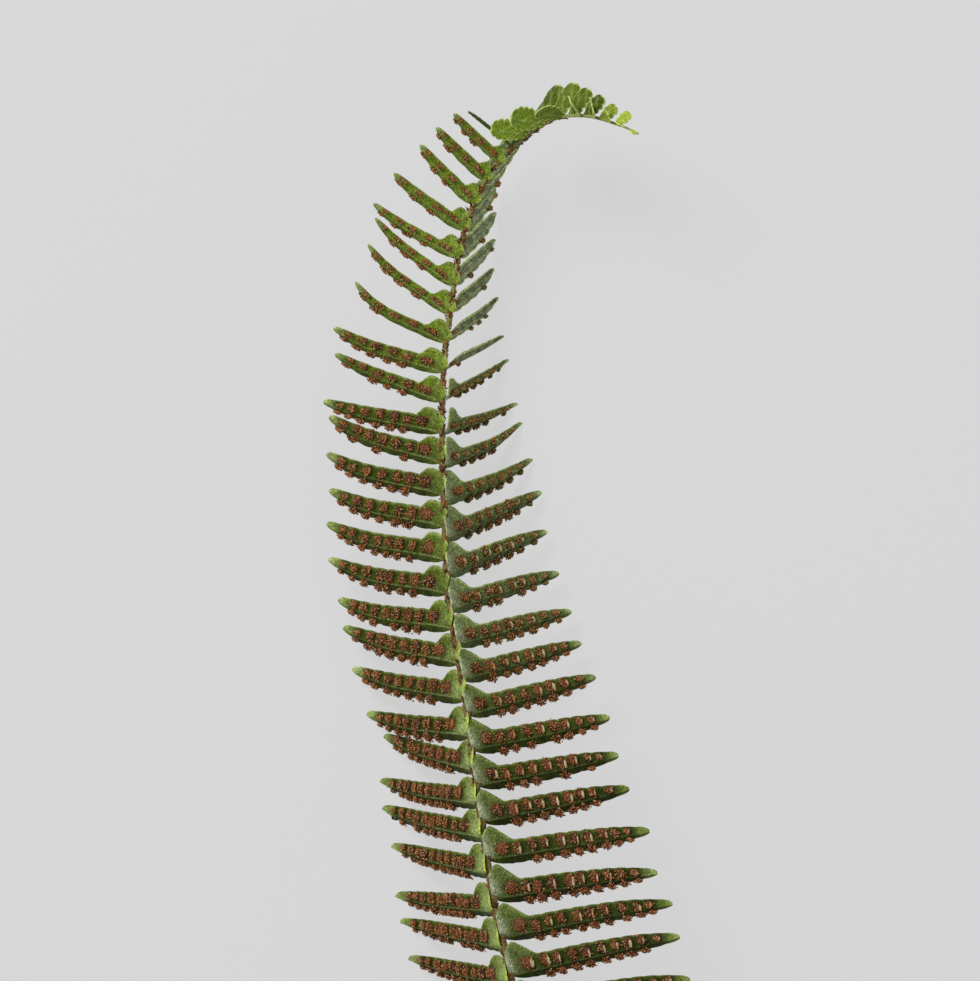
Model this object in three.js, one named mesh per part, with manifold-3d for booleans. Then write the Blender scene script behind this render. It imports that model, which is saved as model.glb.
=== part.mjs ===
// A fern frond, picked and laid on a table with its spore side up.
//
// The rachis is one long tapering stem. Its cut end touches the table at the origin, it runs away along +Y,
// and its last few centimetres rise and curl over to +X. Leaflets sit on it by turns, left and right.
// Each leaflet is a thin blade folded along its midrib, with an ear beside the stem, scalloped margins and
// two rows of raised spore heaps on its upper face. The whole frond is one grown piece.
// Millimetres, +Z up.
import * as THREE from "three";
import { mergeVertices } from "three/addons/utils/BufferGeometryUtils.js";
import Module from "manifold-3d";

// Driving dimensions of the stem
const RACHIS_POINTS = [
  [0, -3, 0.6], [0, 0, 0.65], [0, 20, 1.6], [-0.6, 39, 4.6], [-1.8, 60, 10], [-3.6, 81, 16], [-6, 101, 20.6],
  [-9.3, 120, 23.6], [-13, 138.7, 24.8], [-16.7, 155.2, 24.2], [-19.2, 171.7, 21.9], [-22.6, 196.5, 17.2],
  [-25.4, 213, 15.6], [-26.6, 236.7, 16.4], [-26.7, 254, 17.6], [-25.2, 269.3, 18.2], [-22, 286.7, 18.4],
  [-17.1, 296.8, 20.2], [-11.4, 302.4, 23.8], [-5.4, 306.3, 28.8], [1, 306.9, 33.6], [8, 304.8, 37.2],
  [11.8, 303, 38.2],
];
const RACHIS_SIDES = 6;
const RACHIS_STEP = 9;
const CURL_FROM = 285;
const CURL_STEP = 4.5;
const RACHIS_RADIUS = through([[-3, 1.05], [60, 1.0], [140, 0.85], [230, 0.65], [300, 0.5], [345, 0.35]]);

// Places along the stem are in millimetres from the origin, just above its cut end.
const CUT_END = -3;
const LEAFLETS_LEFT = 47;
const LEAFLETS_RIGHT = 45;
const PLACE_LEFT = through([[0, 66], [5, 99], [11, 142], [15, 171.3], [17, 184.6], [21, 213], [24, 232.8],
  [28, 257], [33, 285], [36, 301], [38, 310.5], [39, 316], [42, 328], [47, 342.5]]);
const PLACE_RIGHT = through([[0, 68.5], [5, 101], [11, 144.2], [15, 174.6], [20, 209.7], [23, 230.3],
  [25, 244.4], [27, 257], [30, 274.6], [36, 305], [38, 313], [40, 322], [45, 339.5]]);
const LENGTH = through([[60, 14], [85, 24], [110, 30.5], [140, 33], [165, 31.5], [182, 28.5], [197, 26.8],
  [225, 25], [245, 23.4], [265, 22.6], [280, 21.2], [295, 18], [307, 16.5], [311, 12.5], [315, 10],
  [320, 10], [326, 7.4], [331, 5.4], [336, 3.8], [342, 2.2]]);
const LEFT_SHARE = through([[285, 1], [296, 0.95], [306, 0.91], [311, 0.98], [315, 0.74], [342, 0.8]]);
const RIGHT_SHARE = through([[300, 1], [314, 0.95], [318, 0.9], [326, 0.86], [329, 0.78], [333, 0.7],
  [337, 0.55], [342, 0.5]]);

// Angles in degrees: how the stem is rolled, how far leaflets rise out of its plane and lean forward
const ROLL = through([[0, -6], [60, -14], [100, -25], [140, -29], [165, -28], [185, -21], [204, 0], [217, 3],
  [237, 17], [255, 28], [267, 38], [285, 47], [300, 56], [309, 66], [314, 78], [320, 98], [327, 122], [336, 140],
  [342, 150]]);
const RAISE = through([[0, 22], [140, 25], [300, 26], [316, 36], [342, 36]]);
const LEAN_LEFT = through([[60, 8], [100, 14], [142, 14], [149, 17], [157, 14], [163, 18.5], [171, 22],
  [178, 21], [185, 26.5], [191, 20], [206, 27], [220, 20], [233, 18], [245, 23], [251, 15.5], [257, 24],
  [262.4, 17], [268, 28], [279, 31], [285, 22], [296, 26], [301, 20.5], [306, 16.5], [310, 6], [316, -18],
  [322, -26], [328, -2], [332, 8], [336, 15], [342, 30]]);
const LEAN_RIGHT = through([[60, 8], [100, 4], [144, -1], [159, -2], [175, 4], [189, 6], [196, 11], [209, 8],
  [216, 11], [224, 17], [244, 17], [251, 9], [257, 17], [263, 17], [269, 23], [281, 29], [290, 32],
  [306, 34], [313, 30], [342, 36]]);
const TILT_LEFT = through([[60, 12], [305, 12], [310, 45], [314, -42], [323, -38], [328, 8], [342, 0]]);
const TILT_RIGHT = through([[60, 12], [235, 12], [262, 24], [272, -14], [285, -30], [300, -44], [309, -36],
  [314, 5], [342, 0]]);
const LEAN_JITTER = 1.2;
const LENGTH_JITTER = 0.03;

// Shape of one leaflet
const HALF_WIDTH_LEFT = through([[60, 2.3], [110, 2.75], [140, 2.95], [200, 3.0], [235, 2.9], [251, 2.5],
  [258, 1.9], [263, 2.1], [268, 1.5], [275, 1.3], [282, 1.4], [290, 1.65], [306, 1.6], [310, 1.2],
  [314, 2.3], [320, 2.4], [325, 1.9], [328, 1.1], [334, 1.0], [342, 0.7]]);
const HALF_WIDTH_RIGHT = through([[60, 2.3], [110, 2.8], [140, 3.1], [190, 3.0], [205, 2.6], [230, 2.3],
  [244, 1.9], [257, 1.6], [266, 1.7], [280, 2.3], [300, 2.4], [309, 2.6], [318, 2.9], [324, 2.6],
  [330, 1.9], [336, 1.3], [342, 0.7]]);
const LOWER_SHARE = 0.66;
const EAR_LEFT = through([[60, 0.78], [255, 0.74], [275, 0.68], [306, 0.68]]);
const EAR_RIGHT = through([[60, 0.9], [240, 0.85], [250, 0.8], [268, 0.48], [278, 0.25], [306, 0.2]]);
const EAR_PLACE_LEFT = 0.135;
const EAR_PLACE_RIGHT = 0.09;
const ROOT_SHARE = 0.2;
const FOLD_UPPER = 10;
const FOLD_LEFT = through([[60, 35], [306, 35], [313, 8]]);
const FOLD_RIGHT = through([[60, 35], [262, 35], [274, 4], [306, 0], [313, 8]]);
const SAG_LEFT = through([[60, 0.02], [140, 0.02], [190, 0.035], [213, 0.055], [245, 0.065], [252, 0.035],
  [262, 0.045], [268, 0.08], [274, 0.05], [285, 0.035], [300, 0.025], [342, 0.02]]);
const SAG_RIGHT = through([[60, 0], [150, 0], [189, 0.015], [217, 0.005], [228, 0.015], [237, 0.045],
  [245, 0.065], [251, 0.04], [263, 0.03], [300, 0.02], [342, 0.02]]);
const SAG_BEND = 1.6;
const SCALLOP = 0.07;
const THICKNESS = 0.66;
const HEAP_HEIGHT = 0.7;
const ROOT_DEPTH = 0.3;
const FIRST_BARREN = 306;
const LONG_LEAFLET = 29;
const HEAPS_LONG = 4;
const HEAPS_SHORT = 3;
const HEAPS_FROM = 0.2;
const HEAPS_TO = 0.8;
const BARREN_OUTLINE = [[0, 0.3], [0.25, 0.72], [0.58, 1], [0.85, 0.86], [1, 0.35]];

const wasm = await Module();
wasm.setup();

// A smooth curve through [place, value] pairs.
function through(stations) {
  const last = stations.length - 1;
  const slope = (i) => {
    const a = stations[Math.max(i - 1, 0)];
    const b = stations[Math.min(i + 1, last)];
    return (b[1] - a[1]) / (b[0] - a[0]);
  };
  return (at) => {
    const place = Math.min(Math.max(at, stations[0][0]), stations[last][0]);
    let i = 0;
    while (i < last - 1 && place > stations[i + 1][0]) i += 1;
    const [x0, v0] = stations[i];
    const [x1, v1] = stations[i + 1];
    const run = x1 - x0;
    const t = (place - x0) / run;
    const ease = t * t * (3 - 2 * t);
    const bend = t * (1 - t) * run;
    return v0 + (v1 - v0) * ease + bend * ((1 - t) * slope(i) - t * slope(i + 1));
  };
}

// A steady draw between -1 and 1 for each leaflet.
let seed = 1269;
function draw() {
  seed = (seed * 16807) % 2147483647;
  return (seed / 2147483647) * 2 - 1;
}

const rad = THREE.MathUtils.degToRad;

// The stem's centre line, as three curves over the length along it.
const reach = [CUT_END];
for (let i = 1; i < RACHIS_POINTS.length; i += 1) {
  reach.push(reach[i - 1] + Math.hypot(...RACHIS_POINTS[i].map((v, k) => v - RACHIS_POINTS[i - 1][k])));
}
const RACHIS_TIP = reach[reach.length - 1];
const [lineX, lineY, lineZ] = [0, 1, 2].map((k) => through(RACHIS_POINTS.map((p, i) => [reach[i], p[k]])));

function centre(s) {
  return new THREE.Vector3(lineX(s), lineY(s), lineZ(s));
}

// The stem's own frame: along it, out of its spore side, and to its right.
function frame(s) {
  const along = centre(Math.min(s + 0.5, RACHIS_TIP)).sub(centre(Math.max(s - 0.5, CUT_END))).normalize();
  const up = new THREE.Vector3(0, 0, 1).addScaledVector(along, -along.z).normalize();
  const side = along.clone().cross(up);
  const roll = rad(ROLL(s));
  const face = up.multiplyScalar(Math.cos(roll)).addScaledVector(side, Math.sin(roll));
  const right = along.clone().cross(face);
  return { along, face, right };
}

function indexed(points, faces) {
  const geometry = new THREE.BufferGeometry();
  geometry.setAttribute("position", new THREE.Float32BufferAttribute(points.flatMap((p) => p.toArray()), 3));
  geometry.setIndex(faces.flat());
  return geometry;
}

function solid(geometry) {
  const bare = geometry.clone();
  bare.deleteAttribute("normal");
  bare.deleteAttribute("uv");
  const merged = mergeVertices(bare, 1e-4);
  return new wasm.Manifold(new wasm.Mesh({
    numProp: 3,
    vertProperties: new Float32Array(merged.attributes.position.array),
    triVerts: new Uint32Array(merged.index.array),
  }));
}

function toGeometry(body) {
  const mesh = body.getMesh();
  const geometry = new THREE.BufferGeometry();
  geometry.setAttribute("position", new THREE.BufferAttribute(new Float32Array(mesh.vertProperties), 3));
  geometry.setIndex(new THREE.BufferAttribute(new Uint32Array(mesh.triVerts), 1));
  geometry.computeVertexNormals();
  return geometry;
}

// Rings of points skinned into one closed body, with a fan at each end.
function skin(rings) {
  const points = rings.flat();
  const n = rings[0].length;
  const faces = [];
  rings.slice(1).forEach((ring, i) => {
    for (let j = 0; j < n; j += 1) {
      const a = i * n + j;
      const b = i * n + ((j + 1) % n);
      faces.push([a, b, b + n], [a, b + n, a + n]);
    }
  });
  const end = points.length - n;
  for (let j = 1; j < n - 1; j += 1) {
    faces.push([0, j + 1, j], [end, end + j, end + j + 1]);
  }
  return indexed(points, faces);
}

function stem() {
  const stations = [];
  for (let s = CUT_END; s < CURL_FROM; s += RACHIS_STEP) stations.push(s);
  for (let s = CURL_FROM; s < RACHIS_TIP - CURL_STEP / 2; s += CURL_STEP) stations.push(s);
  stations.push(RACHIS_TIP);
  const rings = stations.map((s) => {
    const { face, right } = frame(s);
    const ring = [];
    for (let k = 0; k < RACHIS_SIDES; k += 1) {
      const turn = (2 * Math.PI * k) / RACHIS_SIDES;
      const point = centre(s).addScaledVector(face, Math.cos(turn) * RACHIS_RADIUS(s));
      ring.push(point.addScaledVector(right, -Math.sin(turn) * RACHIS_RADIUS(s)));
    }
    return ring.reverse();
  });
  return skin(rings);
}

// How wide a leaflet is at a share of its length, as a share of its half width.
function taper(u) {
  return (1 - u ** 3.8) ** 0.8;
}

function stationsOf(length, barren, earPlace) {
  if (barren) return BARREN_OUTLINE.map(([u, part]) => ({ u, heap: 0, part }));
  const heaps = length > LONG_LEAFLET ? HEAPS_LONG : HEAPS_SHORT;
  const places = [{ u: 0, heap: 0 }, { u: earPlace, heap: 0 }];
  const steps = 2 * heaps - 2;
  for (let i = 0; i <= steps; i += 1) {
    places.push({ u: HEAPS_FROM + ((HEAPS_TO - HEAPS_FROM) * i) / steps, heap: i % 2 === 0 ? 1 : -1 });
  }
  places.push({ u: 1, heap: 0 });
  return places;
}

function leaflet(number, side) {
  const place = side < 0 ? PLACE_LEFT : PLACE_RIGHT;
  const s = place(number);
  const { along, face, right } = frame(s);
  const share = (side < 0 ? LEFT_SHARE : RIGHT_SHARE)(s);
  const length = LENGTH(s) * share * (1 + LENGTH_JITTER * draw());
  const lean = rad((side < 0 ? LEAN_LEFT : LEAN_RIGHT)(s) + LEAN_JITTER * draw());
  const raise = rad(RAISE(s));
  const tilt = rad((side < 0 ? TILT_LEFT : TILT_RIGHT)(s));
  const barren = s > FIRST_BARREN;
  const out = right.clone().multiplyScalar(side * Math.cos(raise)).addScaledVector(face, -Math.sin(raise));
  const axis = out.clone().multiplyScalar(Math.cos(lean)).addScaledVector(along, Math.sin(lean));
  const edge = along.clone().multiplyScalar(Math.cos(lean)).addScaledVector(out, -Math.sin(lean));
  const normal = axis.clone().cross(edge).multiplyScalar(side);
  const upper = edge.clone().multiplyScalar(Math.cos(tilt)).addScaledVector(normal, Math.sin(tilt));
  const front = normal.clone().multiplyScalar(Math.cos(tilt)).addScaledVector(edge, -Math.sin(tilt));
  const root = centre(s).addScaledVector(face, -ROOT_DEPTH * RACHIS_RADIUS(s));
  const width = (side < 0 ? HALF_WIDTH_LEFT : HALF_WIDTH_RIGHT)(s);
  const ear = (side < 0 ? EAR_LEFT : EAR_RIGHT)(s) * (place(number + 1) - s);
  const earPlace = side < 0 ? EAR_PLACE_LEFT : EAR_PLACE_RIGHT;
  const foldLower = (side < 0 ? FOLD_LEFT : FOLD_RIGHT)(s);
  const sagShare = (side < 0 ? SAG_LEFT : SAG_RIGHT)(s);

  const at = (x, q, r) => root.clone().addScaledVector(axis, x).addScaledVector(upper, q)
    .addScaledVector(front, r);
  const rings = stationsOf(length, barren, earPlace).map(({ u, heap, part }) => {
    const x = u * length;
    const sag = -sagShare * length * Math.sin(Math.PI * u ** SAG_BEND);
    const wide = part ?? taper(u) * (1 + SCALLOP * heap);
    let high = width * wide;
    let low = width * LOWER_SHARE * wide;
    let thick = THICKNESS * (0.55 + 0.45 * taper(u));
    if (!barren && u === 0) [high, low] = [ROOT_SHARE * ear, 0.3];
    if (!barren && u === earPlace) [high, low] = [ear, 0.6 * width];
    if (!barren && u === 1) [high, low, thick] = [0.12, 0.12, 0.3];
    const bump = Math.max(heap, 0) * HEAP_HEIGHT * taper(u);
    const across = (q, lift) => {
      const fold = rad(q > 0 ? FOLD_UPPER : foldLower) * Math.min(1, u * 8 + 0.1);
      return at(x, sag + q * Math.cos(fold), -Math.abs(q) * Math.sin(fold) + lift);
    };
    const ring = barren
      ? [across(high, 0), across(0, thick / 2), across(-low, 0), across(0, -thick / 2)]
      : [across(high, 0), across(high * 0.52, thick / 2 + bump), across(0, thick / 2),
        across(-low * 0.55, thick / 2 + bump), across(-low, 0), across(0, -thick / 2)];
    return side > 0 ? ring : ring.reverse();
  });
  return skin(rings);
}

let body = solid(stem());
for (let number = 0; number < LEAFLETS_LEFT; number += 1) body = body.add(solid(leaflet(number, -1)));
for (let number = 0; number < LEAFLETS_RIGHT; number += 1) body = body.add(solid(leaflet(number, 1)));
const floor = new THREE.BoxGeometry(200, 500, 20).translate(0, 150, -10);
body = body.subtract(solid(floor));

const green = new THREE.MeshStandardMaterial({ color: 0x3f6b2c, roughness: 0.6 });
const frond = new THREE.Mesh(toGeometry(body), green);
frond.name = "frond";

const group = new THREE.Group();
group.name = "fern_frond";
group.add(frond);
export default group;
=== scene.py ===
"""A sword fern frond, picked and laid on a pale table with its spore side up.

The leaflets, the stem and the spore heaps are shaped by the same rules and sizes as the part's solid,
only finer. Sizes in the rules are millimetres, and a mesh is written in metres.
"""

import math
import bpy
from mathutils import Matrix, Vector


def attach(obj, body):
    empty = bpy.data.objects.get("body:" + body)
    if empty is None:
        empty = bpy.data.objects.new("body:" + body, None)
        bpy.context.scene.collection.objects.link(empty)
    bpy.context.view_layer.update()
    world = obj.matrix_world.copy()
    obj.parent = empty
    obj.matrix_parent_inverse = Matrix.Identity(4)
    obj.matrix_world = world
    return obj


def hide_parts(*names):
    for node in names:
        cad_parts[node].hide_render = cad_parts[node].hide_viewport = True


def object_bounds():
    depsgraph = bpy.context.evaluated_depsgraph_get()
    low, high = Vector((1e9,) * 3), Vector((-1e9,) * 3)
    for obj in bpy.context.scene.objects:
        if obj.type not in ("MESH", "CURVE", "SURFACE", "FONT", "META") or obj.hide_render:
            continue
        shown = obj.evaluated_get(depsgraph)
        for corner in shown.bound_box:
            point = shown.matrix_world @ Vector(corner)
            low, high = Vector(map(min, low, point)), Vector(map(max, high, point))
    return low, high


bl_info = {
    "name": "Fern Frond",
    "version": (1, 0, 0),
    "blender": (4, 5, 0),
    "location": "View3D > Sidebar > Fern",
    "description": "Builds a sword fern frond with its stem, leaflets and spore heaps",
    "category": "Add Mesh",
}

import bpy
import numpy as np
from bpy.props import FloatProperty, FloatVectorProperty, IntProperty, PointerProperty

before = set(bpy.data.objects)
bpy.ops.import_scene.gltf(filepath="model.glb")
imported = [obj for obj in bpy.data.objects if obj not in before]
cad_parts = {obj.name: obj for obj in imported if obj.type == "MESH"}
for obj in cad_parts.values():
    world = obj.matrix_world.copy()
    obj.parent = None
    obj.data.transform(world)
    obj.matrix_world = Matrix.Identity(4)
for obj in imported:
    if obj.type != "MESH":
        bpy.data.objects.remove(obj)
CAD_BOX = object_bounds()
MM = 0.001
NODE = "frond"

# Centre line of the stem, from its cut end to its tip
STEM_POINTS = [
    (0, -3, 0.6), (0, 0, 0.65), (0, 20, 1.6), (-0.6, 39, 4.6), (-1.8, 60, 10), (-3.6, 81, 16),
    (-6, 101, 20.6), (-9.3, 120, 23.6), (-13, 138.7, 24.8), (-16.7, 155.2, 24.2), (-19.2, 171.7, 21.9),
    (-22.6, 196.5, 17.2), (-25.4, 213, 15.6), (-26.6, 236.7, 16.4), (-26.7, 254, 17.6),
    (-25.2, 269.3, 18.2), (-22, 286.7, 18.4), (-17.1, 296.8, 20.2), (-11.4, 302.4, 23.8),
    (-5.4, 306.3, 28.8), (1, 306.9, 33.6), (8, 304.8, 37.2), (11.8, 303, 38.2),
]
CUT_END = -3.0
LEAFLETS_LEFT = 47
LEAFLETS_RIGHT = 45
ROOT_DEPTH = 0.3
FIRST_BARREN = 306
FOLD_UPPER = 10
LOWER_SHARE = 0.66
LEAN_JITTER = 1.2
LENGTH_JITTER = 0.03


def clamp(value):
    return np.clip(value, 0, 1)


def through(stations):
    """A smooth curve through (place, value) pairs, for one place or an array of them."""
    places, values = np.array(stations, float).T
    last = len(places) - 1
    before = np.maximum(np.arange(last + 1) - 1, 0)
    after = np.minimum(np.arange(last + 1) + 1, last)
    slopes = (values[after] - values[before]) / (places[after] - places[before])

    def curve(at):
        place = np.clip(at, places[0], places[-1])
        i = np.clip(np.searchsorted(places, place) - 1, 0, last - 1)
        run = places[i + 1] - places[i]
        t = (place - places[i]) / run
        ease = t * t * (3 - 2 * t)
        bend = t * (1 - t) * run
        step = values[i + 1] - values[i]
        return values[i] + step * ease + bend * ((1 - t) * slopes[i] - t * slopes[i + 1])

    return curve


# Places along the stem are in millimetres from the origin; angles are in degrees.
STEM_RADIUS = through([(-3, 1.05), (60, 1.0), (140, 0.85), (230, 0.65), (300, 0.5), (345, 0.35)])
PLACE_LEFT = through([
    (0, 66), (5, 99), (11, 142), (15, 171.3), (17, 184.6), (21, 213), (24, 232.8), (28, 257), (33, 285),
    (36, 301), (38, 310), (39, 314.4), (40, 319.2), (42, 328), (47, 342.5),
])
PLACE_RIGHT = through([
    (0, 68.5), (5, 101), (11, 144.2), (15, 174.6), (20, 209.7), (23, 230.3), (25, 244.4), (27, 257),
    (30, 274.6), (36, 305), (38, 313), (40, 322), (45, 339.5),
])
LENGTH = through([
    (60, 14), (85, 24), (110, 30.5), (140, 33), (165, 31.5), (182, 28.5), (197, 26.8), (225, 25),
    (245, 23.4), (265, 22.6), (280, 21.2), (295, 18), (307, 16.5), (311, 12.5), (315, 10), (320, 10),
    (326, 7.4), (331, 5.4), (336, 3.8), (342, 2.2),
])
LEFT_SHARE = through([
    (160, 1), (165, 1), (172, 1.09), (178, 1.09), (186, 1), (200, 1), (270, 1), (285, 1), (296, 0.95),
    (306, 0.91), (311, 0.98), (315, 0.74), (342, 0.8),
])
RIGHT_SHARE = through([
    (300, 1), (314, 0.95), (318, 0.88), (326, 0.84), (329, 0.8), (333, 0.8), (337, 0.9), (342, 0.6),
])
ROLL = through([
    (0, -6), (60, -14), (100, -25), (140, -29), (165, -28), (185, -21), (204, 0), (217, 3), (237, 17),
    (255, 28), (267, 38), (285, 47), (300, 56), (309, 66), (314, 78), (320, 98), (327, 122), (336, 140),
    (342, 150),
])
RAISE = through([(0, 22), (140, 25), (300, 26), (316, 36), (342, 36)])
LEAN_LEFT = through([
    (60, 8), (100, 14), (142, 14), (149, 17), (157, 14), (163, 18.5), (171, 22), (178, 21), (185, 26.5),
    (191, 20), (206, 27), (220, 20), (233, 18), (245, 23), (251, 15.5), (257, 24), (262.4, 17), (268, 28),
    (279, 31), (285, 22), (296, 26), (301, 20.5), (306, 16.5), (310, 6), (314.4, -20), (319.2, -17),
    (324, -20), (328, -2), (332, 8), (336, 15), (342, 30),
])
LEAN_RIGHT = through([
    (60, 8), (100, 4), (144, -1), (159, -2), (175, 4), (189, 6), (196, 11), (209, 8), (216, 11), (224, 17),
    (244, 17), (251, 9), (257, 17), (263, 17), (269, 23), (281, 29), (290, 32), (306, 34), (313, 30),
    (342, 36),
])
TILT_LEFT = through([
    (60, 12), (305, 12), (310, 45), (314, -42), (323, -38), (328, 48), (334, 46), (338, 5), (342, 0),
])
# A few leaflets of the left row stand up from the curled tip.
STAND_LEFT = through([(320, 0), (324, 0), (328, 34), (334, 34), (338, 5), (342, 0)])
TILT_RIGHT = through([
    (60, 12), (235, 12), (262, 24), (272, -14), (285, -30), (300, -44), (309, -36), (314, 5), (342, 0),
])
HALF_WIDTH_LEFT = through([
    (60, 2.3), (110, 2.75), (140, 2.95), (200, 3.0), (235, 2.9), (251, 2.5), (258, 1.9), (263, 2.1),
    (268, 1.5), (275, 1.3), (282, 1.4), (290, 1.65), (306, 1.6), (310, 1.2), (314, 2.5), (320, 2.9),
    (326, 2.6), (331, 2.0), (336, 1.3), (342, 0.7),
])
HALF_WIDTH_RIGHT = through([
    (60, 2.3), (110, 2.8), (140, 3.1), (190, 3.0), (205, 2.7), (230, 2.5), (244, 2.1), (257, 1.75),
    (266, 1.55), (278, 1.7), (290, 2.1), (300, 2.3), (309, 2.6), (318, 2.9), (324, 2.6), (330, 1.9),
    (336, 1.3), (342, 0.7),
])
EAR_LEFT = through([(60, 0.78), (255, 0.74), (275, 0.68), (306, 0.68)])
EAR_RIGHT = through([(60, 0.9), (240, 0.85), (250, 0.8), (268, 0.48), (278, 0.25), (306, 0.2)])
FOLD_LEFT = through([(60, 35), (306, 35), (313, 8)])
FOLD_RIGHT = through([(60, 35), (262, 35), (274, 4), (306, 0), (313, 8)])
SAG_LEFT = through([
    (60, 0.02), (140, 0.02), (190, 0.035), (213, 0.055), (245, 0.065), (252, 0.035), (262, 0.045),
    (268, 0.08), (274, 0.05), (285, 0.035), (300, 0.025), (342, 0.02),
])
SAG_RIGHT = through([
    (60, 0), (150, 0), (189, 0.015), (217, 0.005), (228, 0.015), (237, 0.045), (245, 0.065), (251, 0.04),
    (263, 0.03), (300, 0.02), (342, 0.02),
])
SAG_BEND = 1.6

# Outlines over the share of a leaflet's length
EAR_SPAN_LEFT = 0.235
EAR_SPAN_RIGHT = through([(60, 0.185), (185, 0.19), (222, 0.27), (306, 0.27)])
EAR_ROUND = through([
    (0, 0.2), (0.08, 0.42), (0.2, 0.66), (0.36, 0.88), (0.5, 0.98), (0.6, 1), (0.72, 0.97), (0.84, 0.78),
    (0.93, 0.36), (1, 0),
])
EAR_POINTED = through([
    (0, 0.5), (0.1, 0.8), (0.2, 0.97), (0.27, 1), (0.36, 0.92), (0.5, 0.7), (0.7, 0.38), (0.87, 0.13),
    (1, 0),
])
EAR_BLUNT = through([
    (0, 0.4), (0.12, 0.68), (0.24, 0.9), (0.36, 0.99), (0.44, 1), (0.54, 0.94), (0.66, 0.7), (0.8, 0.34),
    (0.9, 0.12), (1, 0),
])
BLADE_OUTLINE = through([
    (0, 1), (0.35, 1), (0.55, 0.93), (0.75, 0.78), (0.87, 0.58), (0.95, 0.4), (0.985, 0.26), (1, 0.1),
])
BARREN_OUTLINE = through([
    (0, 0.28), (0.12, 0.42), (0.3, 0.78), (0.58, 1), (0.82, 0.9), (0.94, 0.62), (1, 0.3),
])
# The right leaflets in the middle show more of their lower half.
MID_RIGHT = through([(60, 0), (205, 0), (225, 1), (252, 1), (266, 0), (306, 0)])
HEAPS_PER_MM = through([(60, 0.3), (245, 0.3), (275, 0.24), (306, 0.22)])
# The upper right leaflets have hardly an ear and narrow toward the stem.
EARLESS_FROM = 262
# From this place on, over this run, leaflets take on a younger shape.
HIGH_FROM = 190
HIGH_RUN = 30
# Where the rows of heaps begin on a leaflet, and the change of that up the frond
HEAPS_LEFT = (0.215, -0.035)
HEAPS_RIGHT = (0.12, 0.05)
HEAPS_END = 0.87
LEAST_HEAPS = 4
MID_WIDER = 0.35
TWIST_JITTER = 6
CURL_JITTER = 0.02
BOW_JITTER = 0.012
UPPER_SCALLOP = 0.6
LEAST_WIDTH = 0.1

# Relief of a blade, in millimetres; the zone is a share of its length
EAR_ZONE = 0.16
EAR_REACH_LEFT = 0.55
EAR_REACH_RIGHT = 0.5
EAR_REACH_HIGH = 0.2
EAR_STEP = 1.25
EAR_STEP_LESS = 0.35
EAR_SWELL = 0.35
LOBE_SWELL = 0.3
BARREN_SWELL = 0.22
BARREN_CUP = 0.5
MARGIN_DROP = 0.16
RIB_HEIGHT = 0.13
RIB_WIDTH = 0.24


class Draws:
    """A steady draw between -1 and 1, the same on every run."""

    def __init__(self, seed):
        self.seed = seed

    def next(self):
        self.seed = (self.seed * 16807) % 2147483647
        return (self.seed / 2147483647) * 2 - 1


def unit(vector):
    return vector / np.linalg.norm(vector)


STEM_LINE = np.array(STEM_POINTS, float)
STEM_REACH = CUT_END + np.r_[0, np.cumsum(np.linalg.norm(np.diff(STEM_LINE, axis=0), axis=1))]
STEM_TIP = STEM_REACH[-1]
LINE_X, LINE_Y, LINE_Z = (through(np.c_[STEM_REACH, STEM_LINE[:, k]]) for k in range(3))


def centre(s):
    return np.array([LINE_X(s), LINE_Y(s), LINE_Z(s)], float)


def stem_frame(s):
    """The stem's own axes: along it, out of its spore side, and to its right."""
    along = unit(centre(min(s + 0.5, STEM_TIP)) - centre(max(s - 0.5, CUT_END)))
    up = unit(np.array([0.0, 0.0, 1.0]) - along * along[2])
    across = np.cross(along, up)
    roll = math.radians(ROLL(s))
    face = up * math.cos(roll) + across * math.sin(roll)
    return along, face, np.cross(along, face)


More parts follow.
